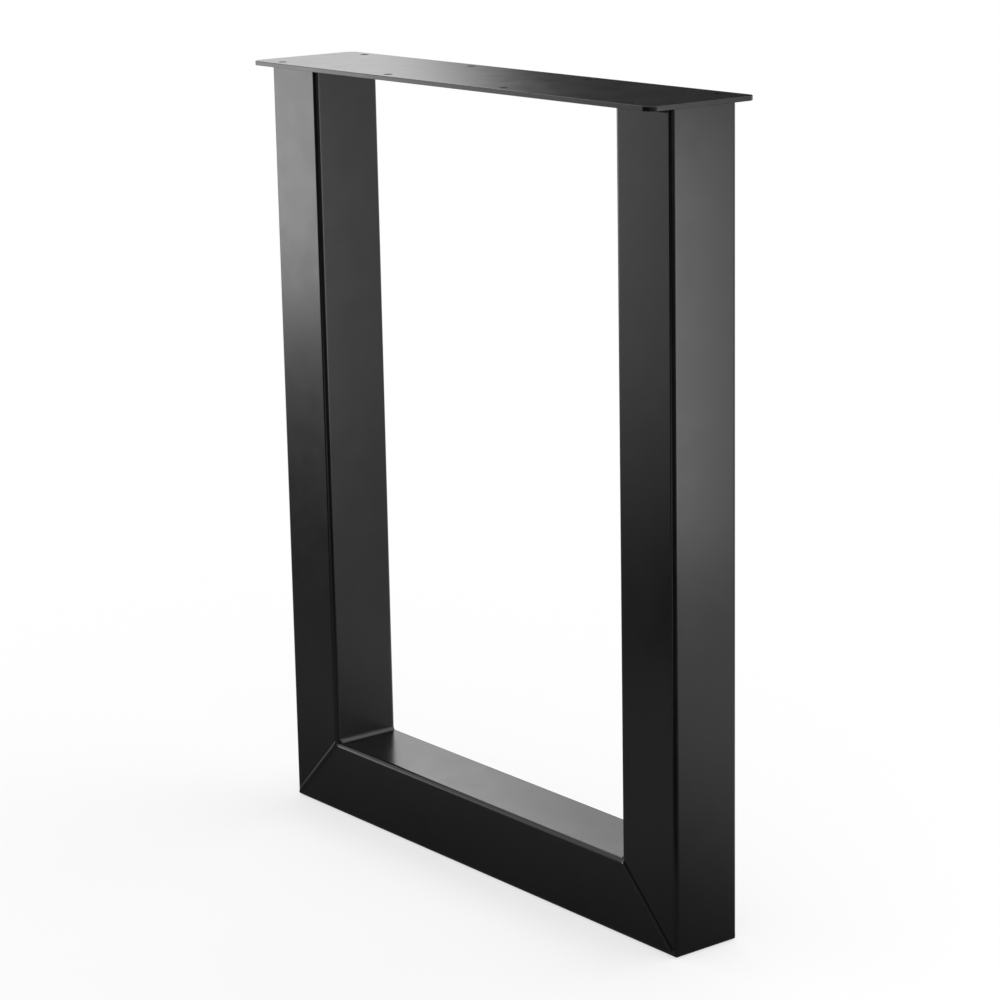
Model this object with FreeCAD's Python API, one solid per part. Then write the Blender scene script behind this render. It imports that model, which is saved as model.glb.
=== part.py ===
import FreeCAD, Part
import os

# U-shaped table leg: two square-tube uprights are mitred into a bottom rail of the same tube and
# welded under a flat steel fixing plate that lies flush with the uprights' outer faces.
# X runs along the leg's width, Y through its depth and Z up. The origin is on the floor, under the
# middle of the rail. The front is the side that faces -Y.

# Driving dimensions in millimetres
LEG_HEIGHT = 720.0            # floor to the top of the fixing plate
LEG_WIDTH = 560.0             # across the uprights' outer faces, and the plate's length
TUBE_FACE = 70.0              # side of the tube in the plane of the U
TUBE_DEPTH = 70.0             # side of the tube through the U
TUBE_WALL = 2.0
TUBE_CORNER_RADIUS = 4.5      # outer corner of the cold-formed tube
PLATE_THICKNESS = 4.0
PLATE_OVERHANG = 22.5         # how far the plate reaches past the tube, in front and behind
PLATE_CORNER_RADIUS = 10.0
PLATE_EDGE_RADIUS = 0.5       # the plate's upper edge after deburring
SCREW_HOLE_DIAMETER = 8.0
SCREW_HOLE_COLUMNS = 4        # spread evenly from one upright's centre line to the other's
GROOVE_WIDTH = 3.0            # V groove along each mitre, on the front and the back
GROOVE_DEPTH = 1.4
MITRE_BEAD_LAP = 1.3          # how far the weld in the groove laps onto the face on each side
MITRE_BEAD_CROWN = 0.7        # how far that weld stands proud of the face
MITRE_TIP_RADIUS = 4.0        # outer corner of each mitre, ground round
CORNER_WELD_LEG = 4.0         # fillet weld across the inner corner of each mitre
CORNER_WELD_CROWN = 0.3       # bulge of that fillet's face
PLATE_WELD_LEG = 3.0          # fillet weld round the head of each upright

LEFT = -1
RIGHT = 1
FRONT = -1
BACK = 1
X_AXIS = FreeCAD.Vector(1, 0, 0)
Y_AXIS = FreeCAD.Vector(0, 1, 0)
Z_AXIS = FreeCAD.Vector(0, 0, 1)

# Places that several pieces share
plate_underside = LEG_HEIGHT - PLATE_THICKNESS
outer_face = LEG_WIDTH / 2
inner_face = outer_face - TUBE_FACE
upright_centre = outer_face - TUBE_FACE / 2
tube_front = TUBE_DEPTH / 2
screw_row = tube_front + PLATE_OVERHANG / 2
inside_corner_radius = max(TUBE_CORNER_RADIUS - TUBE_WALL, 0)
cutter_reach = 2 * TUBE_WALL  # how far a cutting shape reaches past what it cuts


def rounded_outline(centre, u_axis, v_axis, u_size, v_size, radius):
    """Rectangle centred on a point and laid along two axes, with quarter arcs at its corners."""
    def point(u, v):
        return centre + u_axis * u + v_axis * v

    half_u = u_size / 2
    half_v = v_size / 2
    if radius == 0:
        signs = [(-1, -1), (1, -1), (1, 1), (-1, 1), (-1, -1)]
        return Part.makePolygon([point(sign_u * half_u, sign_v * half_v) for sign_u, sign_v in signs])
    flat_u = half_u - radius
    flat_v = half_v - radius
    bow = radius / 2 ** 0.5
    edges = [
        Part.LineSegment(point(-flat_u, -half_v), point(flat_u, -half_v)),
        Part.Arc(point(flat_u, -half_v), point(flat_u + bow, -flat_v - bow), point(half_u, -flat_v)),
        Part.LineSegment(point(half_u, -flat_v), point(half_u, flat_v)),
        Part.Arc(point(half_u, flat_v), point(flat_u + bow, flat_v + bow), point(flat_u, half_v)),
        Part.LineSegment(point(flat_u, half_v), point(-flat_u, half_v)),
        Part.Arc(point(-flat_u, half_v), point(-flat_u - bow, flat_v + bow), point(-half_u, flat_v)),
        Part.LineSegment(point(-half_u, flat_v), point(-half_u, -flat_v)),
        Part.Arc(point(-half_u, -flat_v), point(-flat_u - bow, -flat_v - bow), point(-flat_u, -half_v)),
    ]
    return Part.Wire([edge.toShape() for edge in edges])


def across_depth(wire, half_depth):
    """Solid made by carrying a closed outline in the plane y = 0 to the same depth in front and behind."""
    face = Part.Face(wire)
    face.translate(Y_AXIS * -half_depth)
    return face.extrude(Y_AXIS * (2 * half_depth))


# Square tube, uprights and rail

def square_tube(end_centre, u_axis, v_axis, u_size, v_size, run):
    """Length of hollow tube: a rounded outline carried along the run, less the outline inside its walls."""
    hollow_u = u_size - 2 * TUBE_WALL
    hollow_v = v_size - 2 * TUBE_WALL
    outside = rounded_outline(end_centre, u_axis, v_axis, u_size, v_size, TUBE_CORNER_RADIUS)
    inside = rounded_outline(end_centre, u_axis, v_axis, hollow_u, hollow_v, inside_corner_radius)
    return Part.Face(outside).extrude(run).cut(Part.Face(inside).extrude(run))


def mitre_point(side, inset):
    """Point of the mitre line, in the plane y = 0, as far from the outer face as it is from the floor."""
    return FreeCAD.Vector(side * (outer_face - inset), 0, inset)


def mitre_wedge(side, corner):
    """Wedge that reaches from the mitre plane to the given corner point, and past the tube all round."""
    low = mitre_point(side, -cutter_reach)
    high = mitre_point(side, TUBE_FACE + cutter_reach)
    return across_depth(Part.makePolygon([low, high, corner, low]), tube_front + cutter_reach)


def below_mitre(side):
    """What the mitre takes off an upright."""
    return mitre_wedge(side, FreeCAD.Vector(side * (inner_face - cutter_reach), 0, -cutter_reach))


def above_mitre(side):
    """What the mitre takes off the rail."""
    beyond = outer_face + cutter_reach
    return mitre_wedge(side, FreeCAD.Vector(side * beyond, 0, TUBE_FACE + cutter_reach))


def mitre_tip(side):
    """What grinding takes off the outer corner of a mitre, leaving a round edge."""
    radius = MITRE_TIP_RADIUS
    beyond = side * (outer_face + cutter_reach)
    arc_centre = mitre_point(side, radius)
    arc_middle = arc_centre + FreeCAD.Vector(side, 0, -1) * (radius / 2 ** 0.5)
    arc_top = FreeCAD.Vector(side * outer_face, 0, radius)
    arc_foot = FreeCAD.Vector(side * (outer_face - radius), 0, 0)
    outline = [
        Part.LineSegment(arc_top, FreeCAD.Vector(beyond, 0, radius)),
        Part.LineSegment(FreeCAD.Vector(beyond, 0, radius), FreeCAD.Vector(beyond, 0, -cutter_reach)),
        Part.LineSegment(FreeCAD.Vector(beyond, 0, -cutter_reach), arc_foot - Z_AXIS * cutter_reach),
        Part.LineSegment(arc_foot - Z_AXIS * cutter_reach, arc_foot),
        Part.Arc(arc_foot, arc_middle, arc_top),
    ]
    return across_depth(Part.Wire([edge.toShape() for edge in outline]), tube_front + cutter_reach)


def across_mitre(side):
    """Direction square to a mitre plane, towards its upright."""
    return FreeCAD.Vector(side, 0, 1).normalize()


def weld_groove(side, face):
    """V groove along the whole of a mitre, cut from its root to its own depth above the tube's face."""
    start = mitre_point(side, -cutter_reach)
    end = mitre_point(side, TUBE_FACE + cutter_reach)
    outward = Y_AXIS * face
    root = start + outward * (tube_front - GROOVE_DEPTH)
    top = root + outward * (2 * GROOVE_DEPTH)
    flank = across_mitre(side) * GROOVE_WIDTH
    return Part.Face(Part.makePolygon([root, top + flank, top - flank, root])).extrude(end - start)


def mitre_cuts(side):
    """Cuts that an upright and the rail share at one mitre: both grooves and the ground tip."""
    return [weld_groove(side, face) for face in (FRONT, BACK)] + [mitre_tip(side)]


def upright(side):
    foot = X_AXIS * (side * upright_centre)
    tube = square_tube(foot, X_AXIS, Y_AXIS, TUBE_FACE, TUBE_DEPTH, Z_AXIS * plate_underside)
    return tube.cut([below_mitre(side)] + mitre_cuts(side))


def bottom_rail():
    left_end = FreeCAD.Vector(-outer_face, 0, TUBE_FACE / 2)
    tube = square_tube(left_end, Y_AXIS, Z_AXIS, TUBE_DEPTH, TUBE_FACE, X_AXIS * LEG_WIDTH)
    cuts = [above_mitre(LEFT), above_mitre(RIGHT)] + mitre_cuts(LEFT) + mitre_cuts(RIGHT)
    return tube.cut(cuts)


# Fixing plate

def screw_holes():
    """Two rows of holes in the middle of the plate's overhangs, with the end columns over the uprights."""
    pitch = 2 * upright_centre / (SCREW_HOLE_COLUMNS - 1)
    floor_of_cut = plate_underside - cutter_reach
    length = PLATE_THICKNESS + 2 * cutter_reach
    holes = []
    for column in range(SCREW_HOLE_COLUMNS):
        for row in (FRONT, BACK):
            base = FreeCAD.Vector(column * pitch - upright_centre, row * screw_row, floor_of_cut)
            holes.append(Part.makeCylinder(SCREW_HOLE_DIAMETER / 2, length, base, Z_AXIS))
    return holes


def top_plate():
    foot = Z_AXIS * plate_underside
    depth = TUBE_DEPTH + 2 * PLATE_OVERHANG
    outline = rounded_outline(foot, X_AXIS, Y_AXIS, LEG_WIDTH, depth, PLATE_CORNER_RADIUS)
    blank = Part.Face(outline).extrude(Z_AXIS * PLATE_THICKNESS)
    level = LEG_HEIGHT - PLATE_THICKNESS / 2
    upper_edges = [edge for edge in blank.Edges if edge.BoundBox.ZMin > level]
    return blank.makeFillet(PLATE_EDGE_RADIUS, upper_edges).cut(screw_holes())


# Welds

def corner_weld(side):
    """Fillet weld with a slightly bulging face, where an upright's inner face stands on the rail's top."""
    corner = mitre_point(side, TUBE_FACE)
    toe = corner - X_AXIS * (side * CORNER_WELD_LEG)
    head = corner + Z_AXIS * CORNER_WELD_LEG
    crown = (toe + head) / 2 + FreeCAD.Vector(-side, 0, 1).normalize() * CORNER_WELD_CROWN
    outline = [Part.LineSegment(corner, toe), Part.Arc(toe, crown, head), Part.LineSegment(head, corner)]
    return across_depth(Part.Wire([edge.toShape() for edge in outline]), tube_front - TUBE_CORNER_RADIUS)


def groove_weld(side, face):
    """Bead that fills a groove and bulges over the tubes beside it, as far as the face is flat."""
    shoulder = across_mitre(side) * (GROOVE_WIDTH / 2)
    toe = across_mitre(side) * (GROOVE_WIDTH / 2 + MITRE_BEAD_LAP)
    end_inset = TUBE_CORNER_RADIUS + toe.z
    start = mitre_point(side, end_inset)
    end = mitre_point(side, TUBE_FACE - end_inset)
    outward = Y_AXIS * face
    on_face = start + outward * tube_front
    root = on_face - outward * GROOVE_DEPTH
    crown = on_face + outward * MITRE_BEAD_CROWN
    outline = [
        Part.LineSegment(root, on_face + shoulder),
        Part.LineSegment(on_face + shoulder, on_face + toe),
        Part.Arc(on_face + toe, crown, on_face - toe),
        Part.LineSegment(on_face - toe, on_face - shoulder),
        Part.LineSegment(on_face - shoulder, root),
    ]
    return Part.Face(Part.Wire([edge.toShape() for edge in outline])).extrude(end - start)


def mitre_weld(side):
    """Weld metal of one mitre: the beads on its front and back, and the fillet in its inner corner."""
    return Part.makeCompound([groove_weld(side, face) for face in (FRONT, BACK)] + [corner_weld(side)])


def plate_weld(side):
    """Fillet weld under the plate, along the front, inner and back faces of one upright."""
    centre = FreeCAD.Vector(side * upright_centre, 0, plate_underside)
    foot = centre - Z_AXIS * PLATE_WELD_LEG
    wide = 2 * PLATE_WELD_LEG
    tube_outline = rounded_outline(foot, X_AXIS, Y_AXIS, TUBE_FACE, TUBE_DEPTH, TUBE_CORNER_RADIUS)
    head_radius = TUBE_CORNER_RADIUS + PLATE_WELD_LEG
    head_outline = rounded_outline(centre, X_AXIS, Y_AXIS, TUBE_FACE + wide, TUBE_DEPTH + wide, head_radius)
    collar = Part.makeLoft([tube_outline, head_outline], True, True)
    tube_core = Part.Face(tube_outline).extrude(Z_AXIS * PLATE_WELD_LEG)
    reach = PLATE_WELD_LEG + cutter_reach
    bead_end = centre + X_AXIS * (side * (TUBE_FACE / 2 - TUBE_CORNER_RADIUS + reach))
    beyond_end = rounded_outline(bead_end, X_AXIS, Z_AXIS, 2 * reach, 2 * reach, 0)
    flush_end = across_depth(beyond_end, tube_front + reach)
    return collar.cut([tube_core, flush_end])


os.makedirs("parts", exist_ok=True)
nodes = {
    "top_plate": top_plate(),
    "left_upright": upright(LEFT),
    "right_upright": upright(RIGHT),
    "bottom_rail": bottom_rail(),
    "left_mitre_weld": mitre_weld(LEFT),
    "right_mitre_weld": mitre_weld(RIGHT),
    "left_plate_weld": plate_weld(LEFT),
    "right_plate_weld": plate_weld(RIGHT),
}
for name, shape in nodes.items():
    shape.exportStep(f"parts/{name}.step")
    print(f"{name}: {len(shape.Solids)} solid(s), valid {shape.isValid()}, {shape.Volume:.0f} mm3")
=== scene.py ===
import math

import bmesh
import bpy
import numpy as np
from mathutils import Matrix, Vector
from mathutils.geometry import delaunay_2d_cdt


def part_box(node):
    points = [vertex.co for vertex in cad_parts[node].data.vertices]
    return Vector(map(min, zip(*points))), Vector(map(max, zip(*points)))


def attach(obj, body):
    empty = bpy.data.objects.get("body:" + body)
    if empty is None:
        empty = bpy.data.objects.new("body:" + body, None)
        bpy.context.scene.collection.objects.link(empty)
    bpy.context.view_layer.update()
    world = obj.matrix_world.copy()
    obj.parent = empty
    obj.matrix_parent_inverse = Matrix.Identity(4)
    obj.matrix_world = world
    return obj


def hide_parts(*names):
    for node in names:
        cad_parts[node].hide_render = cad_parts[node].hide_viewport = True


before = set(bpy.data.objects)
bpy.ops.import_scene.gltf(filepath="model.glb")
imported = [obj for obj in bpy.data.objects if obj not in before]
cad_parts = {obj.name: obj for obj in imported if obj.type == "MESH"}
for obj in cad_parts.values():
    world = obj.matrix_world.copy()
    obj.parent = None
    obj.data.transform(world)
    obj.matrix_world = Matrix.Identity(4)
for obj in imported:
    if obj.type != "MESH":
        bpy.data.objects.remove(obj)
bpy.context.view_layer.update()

# Uprights
# Two lengths of cold-formed square steel tube, sawn square at the head and mitred at the foot.
# They are welded to the rail, ground round at the outer corner and powder coated with the whole leg.
upright_low, upright_high = (np.array(corner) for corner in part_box("right_upright"))
outer_face = upright_high[0]
plate_underside = upright_high[2]
tube_face = outer_face - upright_low[0]
half_depth = upright_high[1]
tube_wall = 0.0020
tube_corner_radius = 0.0045
corner_steps = 10
corner_points = corner_steps + 1
mitre_tip_radius = 0.0040
mitre_tip_rings = 7
groove_half_width = 0.0015
groove_depth = 0.0014
groove_end_power = 40
sharp_angle = math.radians(38)
deep_black = (0.0021, 0.0021, 0.0023, 1)
soft_black = (0.0034, 0.0034, 0.0037, 1)
satin_roughness = (0.20, 0.25)
film_index = 1.5
noise_middle = (0.3, 0.7)
LEFT, RIGHT = -1, 1
HANDS = ((LEFT, "left"), (RIGHT, "right"))


def corner_turns(steps):
    """Direction angles of the points round four quarter arcs, and the angle of each arc's middle."""
    within = np.linspace(0, math.pi / 2, steps + 1)
    quarter = np.arange(4)[:, None] * math.pi / 2
    turns = (quarter + within).ravel()
    middles = np.repeat(quarter + math.pi / 4, steps + 1)
    return turns, middles


def rounded_rectangle(half_u, half_v, radius, steps):
    """Outline of a rectangle with round corners: each corner's centre plus the radius in its direction."""
    turns, middles = corner_turns(steps)
    u = np.sign(np.cos(middles)) * (half_u - radius) + radius * np.cos(turns)
    v = np.sign(np.sin(middles)) * (half_v - radius) + radius * np.sin(turns)
    return u, v


def tube_outline(wall):
    """Tube section at a depth inside its skin: inset from the frame's outer side, and place in depth.

    It starts on the inner side and goes round by the back, the outer side and the front.
    """
    half_face = tube_face / 2
    across, depth = rounded_rectangle(
        half_face - wall, half_depth - wall, tube_corner_radius - wall, corner_steps)
    return half_face + across, depth


def mitred_end():
    """Rings of a tube's skin at a mitre, as inset, depth and run from the corner, from the joint outwards.

    On the mitre plane the run equals the inset. The rings step from there round the arc of the ground tip,
    and each lies at one lift along the tube. On the front and the back the skin dips into half a V groove,
    by the groove's depth times the share of its half width that is left at that lift. A high power of how
    squarely the skin faces front or back ends the groove where the corner arcs begin.
    """
    inset, depth = tube_outline(0)
    turn = np.linspace(math.pi / 4, math.pi / 2, mitre_tip_rings)[:, None]
    tip_inset = mitre_tip_radius * (1 - np.sin(turn))
    lift = mitre_tip_radius * (np.sin(turn) - np.cos(turn))
    dip = groove_depth * np.clip(1 - lift / (groove_half_width * math.sqrt(2)), 0, 1)
    facing = np.sin(corner_turns(corner_steps)[0])
    ring_inset = np.maximum(inset, tip_inset)
    ring_depth = depth - dip * facing * np.abs(facing) ** groove_end_power
    return ring_inset, ring_depth, ring_inset + lift


def ring_quads(rings, points, closed):
    """Four-sided faces between neighbouring rings of points, and from the last to the first if closed."""
    grid = np.arange(rings * points).reshape(rings, points)
    ahead = np.roll(grid, -1, axis=0)
    quads = np.stack([grid, np.roll(grid, -1, axis=1), np.roll(ahead, -1, axis=1), ahead], axis=-1)
    return quads[:rings if closed else rings - 1].reshape(-1, 4)


def solid_piece(name, points, faces, material):
    """Closed mesh with its faces turned outwards, shaded smooth between its sharp edges."""
    mesh = bpy.data.meshes.new(name)
    mesh.from_pydata(np.reshape(points, (-1, 3)).tolist(), [], faces)
    shell = bmesh.new()
    shell.from_mesh(mesh)
    bmesh.ops.recalc_face_normals(shell, faces=shell.faces)
    shell.to_mesh(mesh)
    shell.free()
    mesh.shade_smooth()
    mesh.set_sharp_from_angle(angle=sharp_angle)
    mesh.materials.append(material)
    piece = bpy.data.objects.new(name, mesh)
    bpy.context.scene.collection.objects.link(piece)
    even = piece.modifiers.new("even_normals", "WEIGHTED_NORMAL")
    even.keep_sharp = True
    return piece


def powder_coat(name, peel_scale, peel_height):
    """Satin black powder coat: a near-black film with fine orange peel and slight drifts of tone and gloss.

    Three noises over the object's own coordinates shift the colour between two blacks, the roughness
    between two values, and the height of the film by the peel's height.
    """
    material = bpy.data.materials.new(name)
    material.use_nodes = True
    nodes = material.node_tree.nodes
    link = material.node_tree.links.new
    coat = nodes["Principled BSDF"]
    place = nodes.new("ShaderNodeTexCoord").outputs["Object"]

    def noise(scale, detail):
        """Noise of a scale, with a number of finer layers."""
        texture = nodes.new("ShaderNodeTexNoise")
        texture.inputs["Scale"].default_value = scale
        texture.inputs["Detail"].default_value = detail
        link(place, texture.inputs["Vector"])
        return texture.outputs["Fac"]

    def ranged(value, low, high):
        """The middle stretch of a noise carried to a range."""
        spread = nodes.new("ShaderNodeMapRange")
        spread.inputs["From Min"].default_value = noise_middle[0]
        spread.inputs["From Max"].default_value = noise_middle[1]
        spread.inputs["To Min"].default_value = low
        spread.inputs["To Max"].default_value = high
        link(value, spread.inputs["Value"])
        return spread.outputs["Result"]

    tone = nodes.new("ShaderNodeMix")
    tone.data_type = "RGBA"
    tone.inputs["A"].default_value = deep_black
    tone.inputs["B"].default_value = soft_black
    link(ranged(noise(scale=14, detail=4), 0, 1), tone.inputs["Factor"])
    link(tone.outputs["Result"], coat.inputs["Base Color"])
    link(ranged(noise(scale=40, detail=5), *satin_roughness), coat.inputs["Roughness"])
    coat.inputs["IOR"].default_value = film_index
    peel = nodes.new("ShaderNodeBump")
    peel.inputs["Strength"].default_value = 1.0
    peel.inputs["Distance"].default_value = peel_height
    link(noise(scale=peel_scale, detail=2), peel.inputs["Height"])
    link(peel.outputs["Normal"], coat.inputs["Normal"])
    return material


smooth_coat = powder_coat("satin_black_coat", peel_scale=650, peel_height=0.000012)


def upright(side):
    """Tube skin from its mitred foot up to the plate, then back down inside the walls to the mitre."""
    foot_inset, foot_depth, foot_run = mitred_end()
    inset, depth = tube_outline(0)
    hollow_inset, hollow_depth = tube_outline(tube_wall)
    head = np.full_like(inset, plate_underside)
    ring_inset = np.vstack([foot_inset, inset, hollow_inset, hollow_inset])
    ring_depth = np.vstack([foot_depth, depth, hollow_depth, hollow_depth])
    ring_run = np.vstack([foot_run, head, head, hollow_inset])
    return np.stack([side * (outer_face - ring_inset), ring_depth, ring_run], axis=-1)


for side, hand in HANDS:
    rings = upright(side)
    faces = ring_quads(*rings.shape[:2], closed=True).tolist()
    tube = solid_piece(f"{hand}_upright_tube", rings, faces, smooth_coat)
    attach(tube, "root")
    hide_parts(f"{hand}_upright")

# Bottom rail
# The same square tube laid on the floor, with a mitre at each end that meets the uprights' feet.
# Its underside is ground flat with theirs, so that the leg stands on its whole length.


def rail():
    """Tube skin from the left mitre to the right one, then back inside the walls."""
    end_inset, end_depth, end_run = mitred_end()
    hollow_inset, hollow_depth = tube_outline(tube_wall)
    hollow_end = outer_face - hollow_inset
    place = np.vstack([end_run - outer_face, outer_face - end_run[::-1], hollow_end, -hollow_end])
    depth = np.vstack([end_depth, end_depth[::-1], hollow_depth, hollow_depth])
    height = np.vstack([end_inset, end_inset[::-1], hollow_inset, hollow_inset])
    return np.stack([place, depth, height], axis=-1)


rings = rail()
faces = ring_quads(*rings.shape[:2], closed=True).tolist()
tube = solid_piece("bottom_rail_tube", rings, faces, smooth_coat)
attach(tube, "root")
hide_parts("bottom_rail")

# Mitre welds
# Weld metal that joins the rail to the uprights: a low bead along the groove on the front and the back of
# each mitre, and a fillet across the inner corner. Its ripples still show through the powder coat.
mitre_bead_half_width = 0.0031
mitre_bead_crown = 0.0010
mitre_bead_pitch = 0.0022
mitre_bead_ripple = 0.00012
mitre_bead_points = 11
mitre_toe_sink = 0.00008
corner_weld_leg = 0.0040
corner_weld_crown = 0.0003
corner_weld_pitch = 0.0026
corner_weld_ripple = 0.00012
corner_weld_setback = 0.6 * tube_corner_radius
fillet_points = 9
fillet_nose = 0.5
nose_tip = 0.02
ripple_bow = 0.6
stations_per_ripple = 7
# Points of the tube's outline where its back and front flats end, and how many more a bead laps over.
outline_points = 4 * corner_points
back_inner, back_outer = corner_points - 1, corner_points
front_outer, front_inner = 3 * corner_points - 1, 3 * corner_points
outer_lap = 3
inner_lap = corner_steps // 2
weld_coat = powder_coat("satin_black_weld_coat", peel_scale=420, peel_height=0.000025)


def outline_stations(first, last, pitch):
    """Evenly spaced stations along the tube's outline, from one of its points to another.

    It gives each station's inset, its place in depth, the angle that its skin faces, and the run so far.
    """
    inset, depth = tube_outline(0)
    path = np.arange(first, last + 1) % outline_points
    inset, depth = inset[path], depth[path]
    turn = np.unwrap(corner_turns(corner_steps)[0][path])
    run = np.concatenate([[0], np.cumsum(np.hypot(np.diff(inset), np.diff(depth)))])
    even = np.linspace(0, run[-1], round(run[-1] / pitch * stations_per_ripple))
    return [np.interp(even, run, values) for values in (inset, depth, turn)] + [even]


def bead_swell(run, way, nose_length, crown, pitch, ripple):
    """Size of a bead's section along its run, and the height of its bulge over the way across it.

    The ends shrink to a round nose. The bulge is the sine of the way across times the crown, less the
    ripple times one minus the absolute sine of the run over the pitch. Each ripple bows back at its middle.
    """
    nose = np.clip(np.minimum(run, run[-1] - run) / nose_length, nose_tip, 1)[:, None]
    size = np.sqrt(1 - (1 - nose) ** 2)
    swell = np.sin(math.pi * way)
    wave = np.abs(np.sin(math.pi * (run[:, None] / pitch - ripple_bow * swell)))
    return size, swell * (crown - ripple * (1 - wave))


def groove_bead(side, first, last):
    """Bead along a mitre, from one point of the tube's outline to another.

    Across the bead a point lies along the upright or the rail, on its skin, by the half width times its way
    from the joint. It is raised off the skin by the bulge, and sunk a little at the toes. Behind it the
    section closes at the groove's root.
    """
    inset, depth, turn, run = outline_stations(first, last, mitre_bead_pitch)
    way = np.linspace(0, 1, mitre_bead_points)
    size, height = bead_swell(
        run, way, mitre_bead_half_width, mitre_bead_crown, mitre_bead_pitch, mitre_bead_ripple)
    reach = mitre_bead_half_width * math.sqrt(2) * (2 * way - 1) * size
    lift = (height - mitre_toe_sink * (1 - np.sin(math.pi * way))) * size
    at_root = np.zeros(len(run))
    along_upright = np.column_stack([np.maximum(reach, 0), at_root])
    along_rail = np.column_stack([np.maximum(-reach, 0), at_root])
    lift = np.column_stack([lift, at_root - groove_depth])
    inset_out = np.cos(turn)[:, None] * lift / math.sqrt(2)
    x = side * (outer_face - inset[:, None] - inset_out - along_rail)
    y = depth[:, None] + np.sin(turn)[:, None] * lift
    z = inset[:, None] + inset_out + along_upright
    return np.stack([x, y, z], axis=-1)


def fillet_bead(root, toward_toe, toward_head, leg, run, crown, pitch, ripple):
    """Fillet along a root line, with a nose at each end.

    Its face runs from the toe to the head, one leg out along each of their directions, and is raised by the
    bulge along the direction halfway between them.
    """
    way = np.linspace(0, 1, fillet_points)
    size, height = bead_swell(run, way, fillet_nose * leg, crown, pitch, ripple)
    outward = (toward_toe + toward_head) / math.sqrt(2)
    face = (leg * (1 - way)[:, None] * toward_toe[:, None] + leg * way[:, None] * toward_head[:, None]
            + height[..., None] * outward[:, None])
    return np.concatenate([root[:, None], root[:, None] + size[..., None] * face], axis=1)


def corner_bead(side):
    """Fillet from front to back along the line where an upright's inner face meets the rail's top."""
    end = half_depth - corner_weld_setback
    depth = np.linspace(-end, end, round(2 * end / corner_weld_pitch * stations_per_ripple))
    root = np.stack([np.full_like(depth, side * (outer_face - tube_face)), depth,
                     np.full_like(depth, tube_face)], axis=-1)
    toward_toe = np.broadcast_to(np.array((-side, 0.0, 0.0)), root.shape)
    toward_head = np.broadcast_to(np.array((0.0, 0.0, 1.0)), root.shape)
    return fillet_bead(root, toward_toe, toward_head, corner_weld_leg, depth + end,
                       corner_weld_crown, corner_weld_pitch, corner_weld_ripple)


def joined(beads):
    """Points and faces of several beads as one mesh, each with a flat cap on both ends."""
    starts = np.cumsum([0] + [bead.shape[0] * bead.shape[1] for bead in beads])
    faces = []
    for bead, start in zip(beads, starts):
        rings, points = bead.shape[:2]
        first_cap = start + np.arange(points)
        faces += (start + ring_quads(rings, points, closed=False)).tolist()
        faces += [first_cap.tolist(), (first_cap + (rings - 1) * points).tolist()]
    return np.concatenate([bead.reshape(-1, 3) for bead in beads]), faces


for side, hand in HANDS:
    back_bead = groove_bead(side, back_inner - inner_lap, back_outer + outer_lap)
    front_bead = groove_bead(side, front_outer - outer_lap, front_inner + inner_lap)
    points, faces = joined([front_bead, back_bead, corner_bead(side)])
    weld = solid_piece(f"{hand}_mitre_bead", points, faces, weld_coat)
    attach(weld, "root")
    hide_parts(f"{hand}_mitre_weld")

# Top plate
# A flat steel strip with rounded corners, laser cut with two rows of screw holes for the table top.
# It is deburred, welded across the uprights' heads with its ends flush, and coated with the rest.
plate_low, plate_high = (np.array(corner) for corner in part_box("top_plate"))
plate_corner_radius = 0.010
plate_corner_steps = 16
plate_edge_radius = 0.0005
plate_edge_rings = 5
plate_edge_break = 0.0002
screw_hole_radius = 0.0040
hole_rim = 0.0003
hole_rim_shares = np.array([1, 0.3, 0])
hole_sides = 40
holes_per_row = 4
hole_columns = np.linspace(-1, 1, holes_per_row) * (outer_face - tube_face / 2)
hole_row = (plate_high[1] + half_depth) / 2
triangles_inside = 1
same_point_distance = 1e-9


def plate_edge():
    """Rings down the plate's edge: the outline drawn in by a quarter round above, a small break below."""
    turn = np.linspace(0, math.pi / 2, plate_edge_rings)
    inset = np.concatenate([plate_edge_radius * (1 - np.sin(turn)), [0, plate_edge_break]])[:, None]
    drop = plate_edge_radius * (1 - np.cos(turn))
    below = [plate_low[2] + plate_edge_break, plate_low[2]]
    height = np.concatenate([plate_high[2] - drop, below])[:, None]
    u, v = rounded_rectangle(
        plate_high[0] - inset, plate_high[1] - inset, plate_corner_radius - inset, plate_corner_steps)
    return np.stack([u, v, np.broadcast_to(height, u.shape)], axis=-1)


def hole_edge(x, y):
    """Rings down a screw hole: a circle with its rim eased at both faces of the plate."""
    turn = np.linspace(0, 2 * math.pi, hole_sides, endpoint=False)
    ease = hole_rim * hole_rim_shares
    radius = screw_hole_radius + np.concatenate([ease, ease[::-1]])[:, None]
    height = np.concatenate([plate_high[2] - ease[::-1], plate_low[2] + ease])[:, None]
    return np.stack([x + radius * np.cos(turn), y + radius * np.sin(turn), height + 0 * turn], axis=-1)


def flat_face(points, rims):
    """Triangles of a level face between its outline, the first rim, and the rims of its holes.

    A triangle with all three corners on the rim of one hole would close that hole, and is left out.
    """
    corner = np.concatenate(rims)
    owner = np.repeat(np.arange(len(rims)), [len(rim) for rim in rims])
    starts = np.cumsum([0] + [len(rim) for rim in rims[:-1]])
    loops = [start + np.arange(len(rim)) for rim, start in zip(rims, starts)]
    edges = np.concatenate([np.stack([loop, np.roll(loop, -1)], axis=1) for loop in loops])
    found_faces, found_sources = delaunay_2d_cdt(
        points[corner, :2].tolist(), edges.tolist(), [], triangles_inside, same_point_distance)[2:4]
    source = np.array([same[0] for same in found_sources])
    triangles = source[np.array(found_faces)]
    first, second, third = owner[triangles].T
    in_hole = (first == second) & (second == third) & (first > 0)
    return corner[triangles[~in_hole]].tolist()


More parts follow.
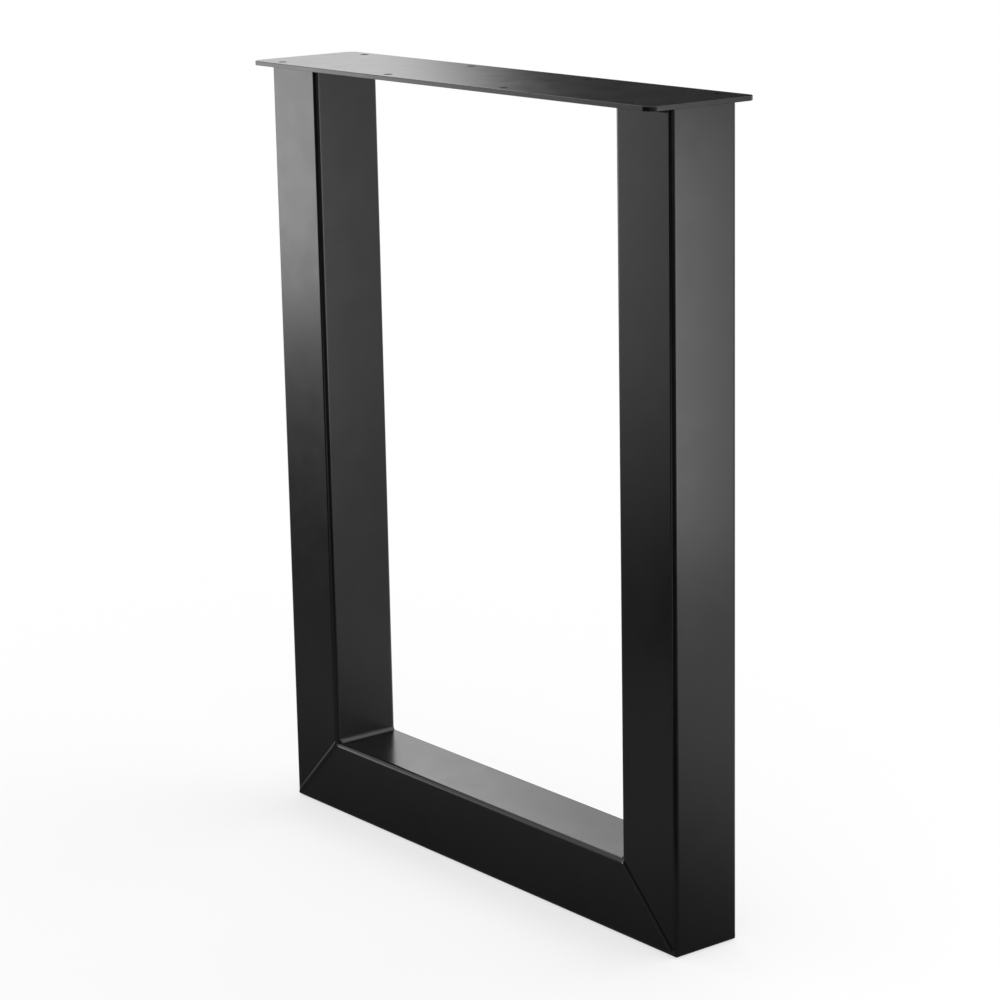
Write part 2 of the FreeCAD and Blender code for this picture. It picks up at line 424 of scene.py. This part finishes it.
def plate_mesh():
    """Rings of the plate's edge and of its holes, with a flat face above and one below."""
    edges = [plate_edge()] + [hole_edge(x, y) for x in hole_columns for y in (-hole_row, hole_row)]
    points = np.concatenate([edge.reshape(-1, 3) for edge in edges])
    starts = np.cumsum([0] + [edge.shape[0] * edge.shape[1] for edge in edges])
    grids = [start + np.arange(edge.shape[0] * edge.shape[1]).reshape(edge.shape[:2])
             for edge, start in zip(edges, starts)]
    walls = np.concatenate([start + ring_quads(*edge.shape[:2], closed=False)
                            for edge, start in zip(edges, starts)])
    top = flat_face(points, [grid[0] for grid in grids])
    underside = flat_face(points, [grid[-1] for grid in grids])
    return points, walls.tolist() + top + underside


points, faces = plate_mesh()
plate = solid_piece("top_plate_sheet", points, faces, smooth_coat)
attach(plate, "root")
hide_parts("top_plate")

# Plate welds
# A fillet weld under the plate, laid round the front, the inner side and the back of each upright's head.
# The outer side has none: there the plate's end is flush with the tube.
plate_weld_leg = 0.0030
plate_weld_crown = 0.0002
plate_weld_pitch = 0.0024
plate_weld_ripple = 0.00015


def plate_bead(side):
    """Fillet whose root follows the tube's outline under the plate, from the front round to the back."""
    inset, depth, turn, run = outline_stations(
        front_outer, outline_points + back_outer, plate_weld_pitch)
    root = np.stack([side * (outer_face - inset), depth, np.full_like(inset, plate_underside)], axis=-1)
    off_tube = np.stack([-side * np.cos(turn), np.sin(turn), np.zeros_like(turn)], axis=-1)
    down_tube = np.broadcast_to(np.array((0.0, 0.0, -1.0)), root.shape)
    return fillet_bead(root, down_tube, off_tube, plate_weld_leg, run,
                       plate_weld_crown, plate_weld_pitch, plate_weld_ripple)


for side, hand in HANDS:
    points, faces = joined([plate_bead(side)])
    weld = solid_piece(f"{hand}_plate_bead", points, faces, weld_coat)
    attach(weld, "root")
    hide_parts(f"{hand}_plate_weld")

# Floor and surround
# A plain white floor under a plain white surround. Near the leg the floor is matt paint that takes its
# shadow, and further out it passes into the even white of the surround.
floor_level = -0.0004
floor_half_size = 40.0
floor_white = 0.88
surround_light = 0.9
plain_white_strength = 1.0
shadow_reach = (0.3, 1.6)
even_white_at_leg = 0.65


def arithmetic(tree, operation, first, second):
    """One step of arithmetic on two sockets or numbers."""
    step = tree.nodes.new("ShaderNodeMath")
    step.operation = operation
    for socket, value in zip(step.inputs, (first, second)):
        if isinstance(value, (int, float)):
            socket.default_value = value
        else:
            tree.links.new(value, socket)
    return step.outputs[0]


def eased(tree, value, from_low, from_high, to_low, to_high):
    """The value carried smoothly from one range to another and held at its ends."""
    spread = tree.nodes.new("ShaderNodeMapRange")
    spread.interpolation_type = "SMOOTHSTEP"
    for socket, number in zip(spread.inputs[1:5], (from_low, from_high, to_low, to_high)):
        socket.default_value = number
    tree.links.new(value, spread.inputs["Value"])
    return spread.outputs["Result"]


def sees_surround(tree):
    """1 for a ray that looks at the surround, straight or in a reflection or through glass, and else 0."""
    path = tree.nodes.new("ShaderNodeLightPath").outputs
    mirrored = arithmetic(tree, "MAXIMUM", path["Is Glossy Ray"], path["Is Transmission Ray"])
    return arithmetic(tree, "MAXIMUM", path["Is Camera Ray"], mirrored)


def own_place(tree):
    """Place of the shaded point in the object's own coordinates."""
    return tree.nodes.new("ShaderNodeTexCoord").outputs["Object"]


def distance(tree, place):
    """Distance of a place from the middle of the leg's foot."""
    length = tree.nodes.new("ShaderNodeVectorMath")
    length.operation = "LENGTH"
    tree.links.new(place, length.inputs[0])
    return length.outputs["Value"]


def stage_sheet(name, corners, material):
    """Flat four-cornered stage piece."""
    mesh = bpy.data.meshes.new(name)
    mesh.from_pydata(corners, [], [(0, 1, 2, 3)])
    mesh.materials.append(material)
    sheet = bpy.data.objects.new(name, mesh)
    bpy.context.scene.collection.objects.link(sheet)
    return sheet


def level_square(half_size, height):
    """Corners of a level square centred on the leg."""
    return [(u * half_size, v * half_size, height) for u, v in ((-1, -1), (1, -1), (1, 1), (-1, 1))]


def stage_material(name, shader_kind):
    """Material with one shader of a kind, its node tree and that shader."""
    material = bpy.data.materials.new(name)
    material.use_nodes = True
    tree = material.node_tree
    tree.nodes.remove(tree.nodes["Principled BSDF"])
    return material, tree, tree.nodes.new(shader_kind)


def mixed_surface(tree, share, first, second):
    """Surface that passes from the first shader to the second by a share."""
    blend = tree.nodes.new("ShaderNodeMixShader")
    tree.links.new(share, blend.inputs["Fac"])
    tree.links.new(first.outputs[0], blend.inputs[1])
    tree.links.new(second.outputs[0], blend.inputs[2])
    tree.links.new(blend.outputs[0], tree.nodes["Material Output"].inputs["Surface"])


world = bpy.data.worlds.new("white_surround")
bpy.context.scene.world = world
world.use_nodes = True
world_tree = world.node_tree
background = world_tree.nodes["Background"].inputs
background["Color"].default_value = (1, 1, 1, 1)
surround_strength = eased(world_tree, sees_surround(world_tree), 0, 1, surround_light, plain_white_strength)
world_tree.links.new(surround_strength, background["Strength"])

floor_paint, floor_tree, matt = stage_material("white_floor", "ShaderNodeBsdfDiffuse")
matt.inputs["Color"].default_value = (floor_white, floor_white, floor_white, 1)
plain_white = floor_tree.nodes.new("ShaderNodeEmission")
plain_white.inputs["Strength"].default_value = plain_white_strength
from_leg = distance(floor_tree, own_place(floor_tree))
even_share = eased(floor_tree, from_leg, *shadow_reach, even_white_at_leg, 1.0)
white_share = arithmetic(floor_tree, "MULTIPLY", sees_surround(floor_tree), even_share)
mixed_surface(floor_tree, white_share, matt, plain_white)
stage_sheet("studio_floor", level_square(floor_half_size, floor_level), floor_paint)

# Lamps
# Soft panels at the left front, the right back and the left back give the coat its long highlights.
# A fourth hangs high up towards the back. It lights the floor and the welds in the inner corners.


def softbox(name, place, aim, width, height, radiance):
    """Rectangular soft panel at a place, turned to face a point, hidden from the camera."""
    lamp = bpy.data.lights.new(name, "AREA")
    lamp.shape = "RECTANGLE"
    lamp.size = width
    lamp.size_y = height
    lamp.energy = radiance * math.pi * width * height
    panel = bpy.data.objects.new(name, lamp)
    bpy.context.scene.collection.objects.link(panel)
    place = np.array(place)
    back = (place - aim) / np.linalg.norm(place - aim)
    right = np.cross((0, 0, 1), back)
    right /= np.linalg.norm(right)
    axes = np.stack([right, np.cross(back, right), back, place], axis=1)
    panel.matrix_world = Matrix(axes.tolist() + [[0, 0, 0, 1]])
    panel.visible_camera = False


softbox("left_front_panel", place=(-2.05, -1.05, 0.40), aim=(-0.25, 0, 0.40),
        width=0.8, height=0.54, radiance=3.5)
softbox("right_back_panel", place=(1.20, 0.45, 0.33), aim=(0.28, 0, 0.33),
        width=0.6, height=0.52, radiance=2.8)
softbox("left_back_panel", place=(-5.0, 3.4, 3.25), aim=(0, 0, 0.5),
        width=3.0, height=2.4, radiance=1.5)
softbox("overhead_panel", place=(0.35, 1.4, 2.6), aim=(0, 0, 0.3),
        width=1.8, height=1.6, radiance=1.9)

# Painted dark reflections
# Black sheets on the floor, in front of the leg, and behind its plate and its rail, seen only in the gloss.
# They paint dark reflections on the edges and the foot of the leg, and fade out into the white of the
# surround.
# Each fade is two places along a direction, then the cover at the first and at the second.
dark_reflection_black = (0.01, 0.01, 0.01, 1)
floor_card_half_size = 12.0
AHEAD = (0, -1, 0)
RIGHTWARDS = (1, 0, 0)
UPWARDS = (0, 0, 1)
behind_leg_fade = (-0.50, 0.03, 0.22, 0.96)
before_leg_fade = (0.06, 0.25, 1, 0.885)
far_ahead_fade = (0.6, 1.9, 1, 0)
rightwards_fade = (-0.95, -0.20, 1, 0.90)
off_left_foot = (0.51, -1, 0)
left_foot_fade = (-0.24, -0.10, 0.65, 1)
along_streak = (0.787, 0.617, 0)
streak_start_fade = (0.2, 0.6, 0, 0.44)
streak_end_fade = (1.4, 2.2, 1, 0.3)
across_streak = (0.617, -0.787, 0)
streak_side_fade = (-0.08, 0.06, 1, 0)
plate_card_lean = (1, 0, -0.35)
plate_card_fade = (-1.28, -0.99, 0, 1)
rail_card_fade = (-1.0, -0.50, 0, 0.45)
front_card_fade = (0.9, 1.8, 1, 0)


def dark_reflection_card(name, corners, cover_of):
    """Painted dark reflection: a black sheet that only glossy rays meet, its cover a function of its place.
    """
    material, tree, black = stage_material(name, "ShaderNodeBsdfDiffuse")
    black.inputs["Color"].default_value = dark_reflection_black
    clear = tree.nodes.new("ShaderNodeBsdfTransparent")
    mixed_surface(tree, cover_of(tree, own_place(tree)), clear, black)
    card = stage_sheet(name, corners, material)
    card.visible_camera = False
    card.visible_diffuse = False
    card.visible_transmission = False
    card.visible_volume_scatter = False
    card.visible_shadow = False


def standing_sheet(left, right, bottom, top):
    """Corners of an upright sheet over the line between two places on the floor, between two heights."""
    return [(*left, bottom), (*right, bottom), (*right, top), (*left, top)]


def measured_along(tree, place, direction):
    """How far a place lies along a direction."""
    product = tree.nodes.new("ShaderNodeVectorMath")
    product.operation = "DOT_PRODUCT"
    tree.links.new(place, product.inputs[0])
    product.inputs[1].default_value = direction
    return product.outputs["Value"]


def combined(tree, operation, values):
    """One operation carried through a list of sockets."""
    total = values[0]
    for value in values[1:]:
        total = arithmetic(tree, operation, total, value)
    return total


def wedge_cover(tree, place, turn, rim_cosine, core_cosine, start):
    """Full about a direction turned from straight ahead, from a distance on, and none past the rim."""
    along = measured_along(tree, place, (math.sin(turn), -math.cos(turn), 0))
    cosine = arithmetic(tree, "DIVIDE", along, distance(tree, place))
    return combined(tree, "MULTIPLY", [eased(tree, cosine, rim_cosine, core_cosine, 0, 1),
                                       eased(tree, along, start, 2 * start, 0, 1)])


def streak_cover(tree, place):
    """A streak away to the right back, on the left of a line through the leg, that thins on its way."""
    away = measured_along(tree, place, along_streak)
    aside = measured_along(tree, place, across_streak)
    return combined(tree, "MULTIPLY", [eased(tree, away, *streak_start_fade),
                                       eased(tree, away, *streak_end_fade),
                                       eased(tree, aside, *streak_side_fade)])


def floor_cover(tree, place):
    """Cover of the painted dark reflection: a band along the foot of the leg, or where it is more, a wedge
    or a streak.

    The band is fullest close in front of the leg. It thins to a trace behind it, to nothing further ahead,
    a little to the right, and more on the left of a slanting line from the left foot.
    """
    ahead = measured_along(tree, place, AHEAD)
    to_the_right = measured_along(tree, place, RIGHTWARDS)
    off_slant = measured_along(tree, place, off_left_foot)
    band = combined(tree, "MULTIPLY", [eased(tree, ahead, *behind_leg_fade),
                                       eased(tree, ahead, *before_leg_fade),
                                       eased(tree, ahead, *far_ahead_fade),
                                       eased(tree, to_the_right, *rightwards_fade),
                                       eased(tree, off_slant, *left_foot_fade)])
    wide = wedge_cover(tree, place, turn=math.radians(52), rim_cosine=0.72, core_cosine=0.90, start=0.25)
    narrow = wedge_cover(tree, place, turn=math.radians(-24), rim_cosine=0.945, core_cosine=0.98, start=0.4)
    return combined(tree, "MAXIMUM", [band, wide, narrow, streak_cover(tree, place)])


def plate_cover(tree, place):
    """Full at the right, and fading out to the left along a line that leans with the height."""
    return eased(tree, measured_along(tree, place, plate_card_lean), *plate_card_fade)


def rail_cover(tree, place):
    """Slight, and fading out to the left."""
    return eased(tree, measured_along(tree, place, RIGHTWARDS), *rail_card_fade)


def front_cover(tree, place):
    """Full over the lower part, and fading out towards the top."""
    return eased(tree, measured_along(tree, place, UPWARDS), *front_card_fade)


# These four sheets paint dark reflections. The camera, the shadows and the bounced light pass through them.
floor_corners = level_square(floor_card_half_size, floor_level / 2)
plate_corners = standing_sheet(left=(-1.25, 0.52), right=(0.2, 0.82), bottom=0.68, top=1.7)
rail_corners = standing_sheet(left=(-1.15, 0.60), right=(-0.2, 0.60), bottom=0.1, top=0.5)
front_corners = standing_sheet(left=(-2.0, -2.2), right=(1.6, -2.2), bottom=0.0, top=1.8)
dark_reflection_card("floor_dark_reflection", floor_corners, floor_cover)
dark_reflection_card("plate_dark_reflection", plate_corners, plate_cover)
dark_reflection_card("rail_dark_reflection", rail_corners, rail_cover)
dark_reflection_card("front_dark_reflection", front_corners, front_cover)

# Camera
# It stands at the right front, a little above the plate, and looks along the leg's diagonal.
# Its long lens keeps the far upright only a little smaller than the near one.
camera_azimuth = math.radians(51.90)
camera_elevation = math.radians(13.80)
camera_roll = math.radians(-1.09)
camera_place = (2.079, -1.625, 0.991)
camera_data = bpy.data.cameras.new("photo_camera")
camera_data.sensor_width = 36
camera_data.lens = 109.4
camera = bpy.data.objects.new("photo_camera", camera_data)
bpy.context.scene.collection.objects.link(camera)
camera.matrix_world = (
    Matrix.Translation(camera_place) @ Matrix.Rotation(camera_azimuth, 4, "Z")
    @ Matrix.Rotation(math.pi / 2 - camera_elevation, 4, "X") @ Matrix.Rotation(camera_roll, 4, "Z"))
bpy.context.scene.camera = camera
bpy.context.scene.view_settings.view_transform = "Standard"
